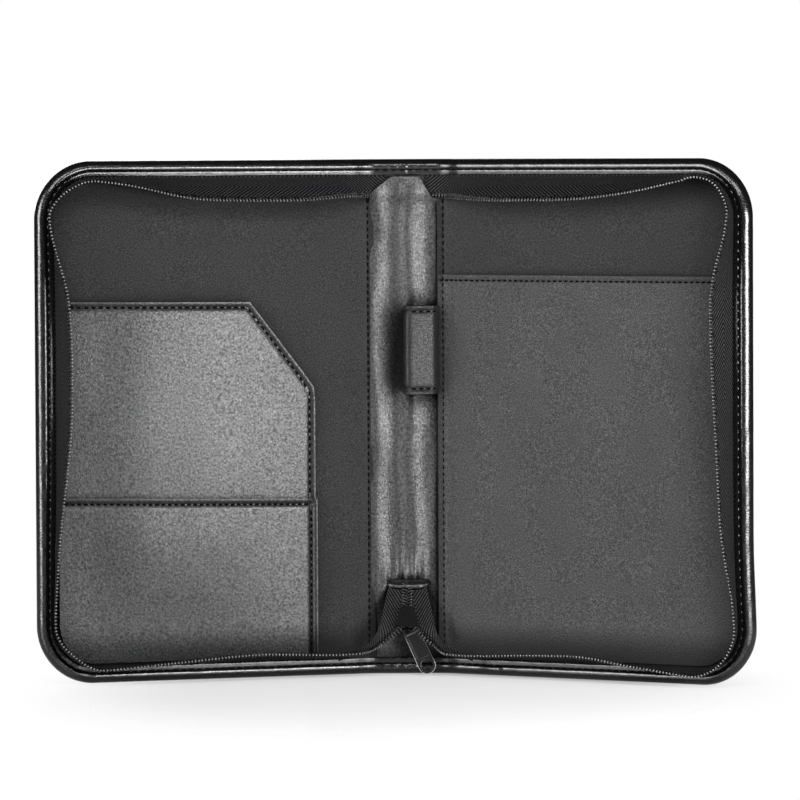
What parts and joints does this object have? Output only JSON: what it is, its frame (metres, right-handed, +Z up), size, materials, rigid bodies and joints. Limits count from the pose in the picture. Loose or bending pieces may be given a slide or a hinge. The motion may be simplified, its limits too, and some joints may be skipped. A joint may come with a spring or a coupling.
{
  "type": "zippered padfolio",
  "caption": "Soft black zip-round folder for a small writing pad, standing open like a book, with pockets, a pen loop, bound edges, a coil zip and a hanging pull tab.",
  "frame": {"origin": "middle of the spine's foot, on the plane of the two fold lines, at the level of the surface the folder stands on", "axes": "+X to the reader's right along the spine's width, +Y away from the reader, +Z up the standing folder"},
  "size_m": [0.3251, 0.0927, 0.238],
  "materials": {
    "cover_leather": "fine grained, satin black",
    "binding_leather": "smooth, semi-gloss black",
    "pocket_leather": "fine grained, satin grey-black",
    "padding_foam": "foam sheet, not seen",
    "cover_board": "grey board, not seen",
    "lining_cloth": "fine plain weave, charcoal",
    "zip_tape_cloth": "herringbone woven black tape",
    "zip_coil_plastic": "glossy black nylon",
    "slider_metal": "black painted die casting, satin gloss"
  },
  "bodies": {
    "spine": {"spine_skin": "cover_leather", "spine_interlining": "padding_foam", "spine_lining": "pocket_leather", "spine_binding_foot": "binding_leather", "spine_binding_head": "binding_leather", "pen_loop": "pocket_leather", "zip_tail_tape": "zip_tape_cloth", "zip_tail_coil": "zip_coil_plastic", "left_zip_end": "zip_tape_cloth", "right_zip_end": "zip_tape_cloth", "zip_top_ends": "zip_tape_cloth"},
    "left_cover": {"left_cover_skin": "cover_leather", "left_padding": "padding_foam", "left_board": "cover_board", "left_lining": "lining_cloth", "left_binding": "binding_leather", "left_zip_tape": "zip_tape_cloth", "left_zip_coil": "zip_coil_plastic", "document_pocket": "pocket_leather", "document_pocket_seam": "pocket_leather", "card_pocket": "pocket_leather", "card_pocket_seam": "pocket_leather"},
    "right_cover": {"right_cover_skin": "cover_leather", "right_padding": "padding_foam", "right_board": "cover_board", "right_lining": "lining_cloth", "right_binding": "binding_leather", "right_zip_tape": "zip_tape_cloth", "right_zip_coil": "zip_coil_plastic", "notepad_pocket": "lining_cloth", "notepad_pocket_seam": "lining_cloth"},
    "slider": {"slider_body": "slider_metal", "slider_bail": "slider_metal"},
    "pull": {"pull_tab": "slider_metal"}
  },
  "joints": [
    {"name": "left_fold", "type": "hinge", "parent": "spine", "child": "left_cover", "pos_m": [-0.02, 0, 0], "axis": [0, 0, 1], "range_deg": [-21, 69], "deforming": ["left_zip_end"]},
    {"name": "right_fold", "type": "hinge", "parent": "spine", "child": "right_cover", "pos_m": [0.02, 0, 0], "axis": [0, 0, -1], "range_deg": [-30, 60], "deforming": ["right_zip_end"]},
    {"name": "slider_run", "type": "slide", "parent": "spine", "child": "slider", "axis": [0, 0.5736, 0.8192], "range_m": [0, 0.006], "deforming": ["zip_tail_coil"]},
    {"name": "pull_swing", "type": "hinge", "parent": "slider", "child": "pull", "pos_m": [0, -0.01093, 0.02392], "axis": [0, 1, 0], "range_deg": [0, 50]}
  ]
}
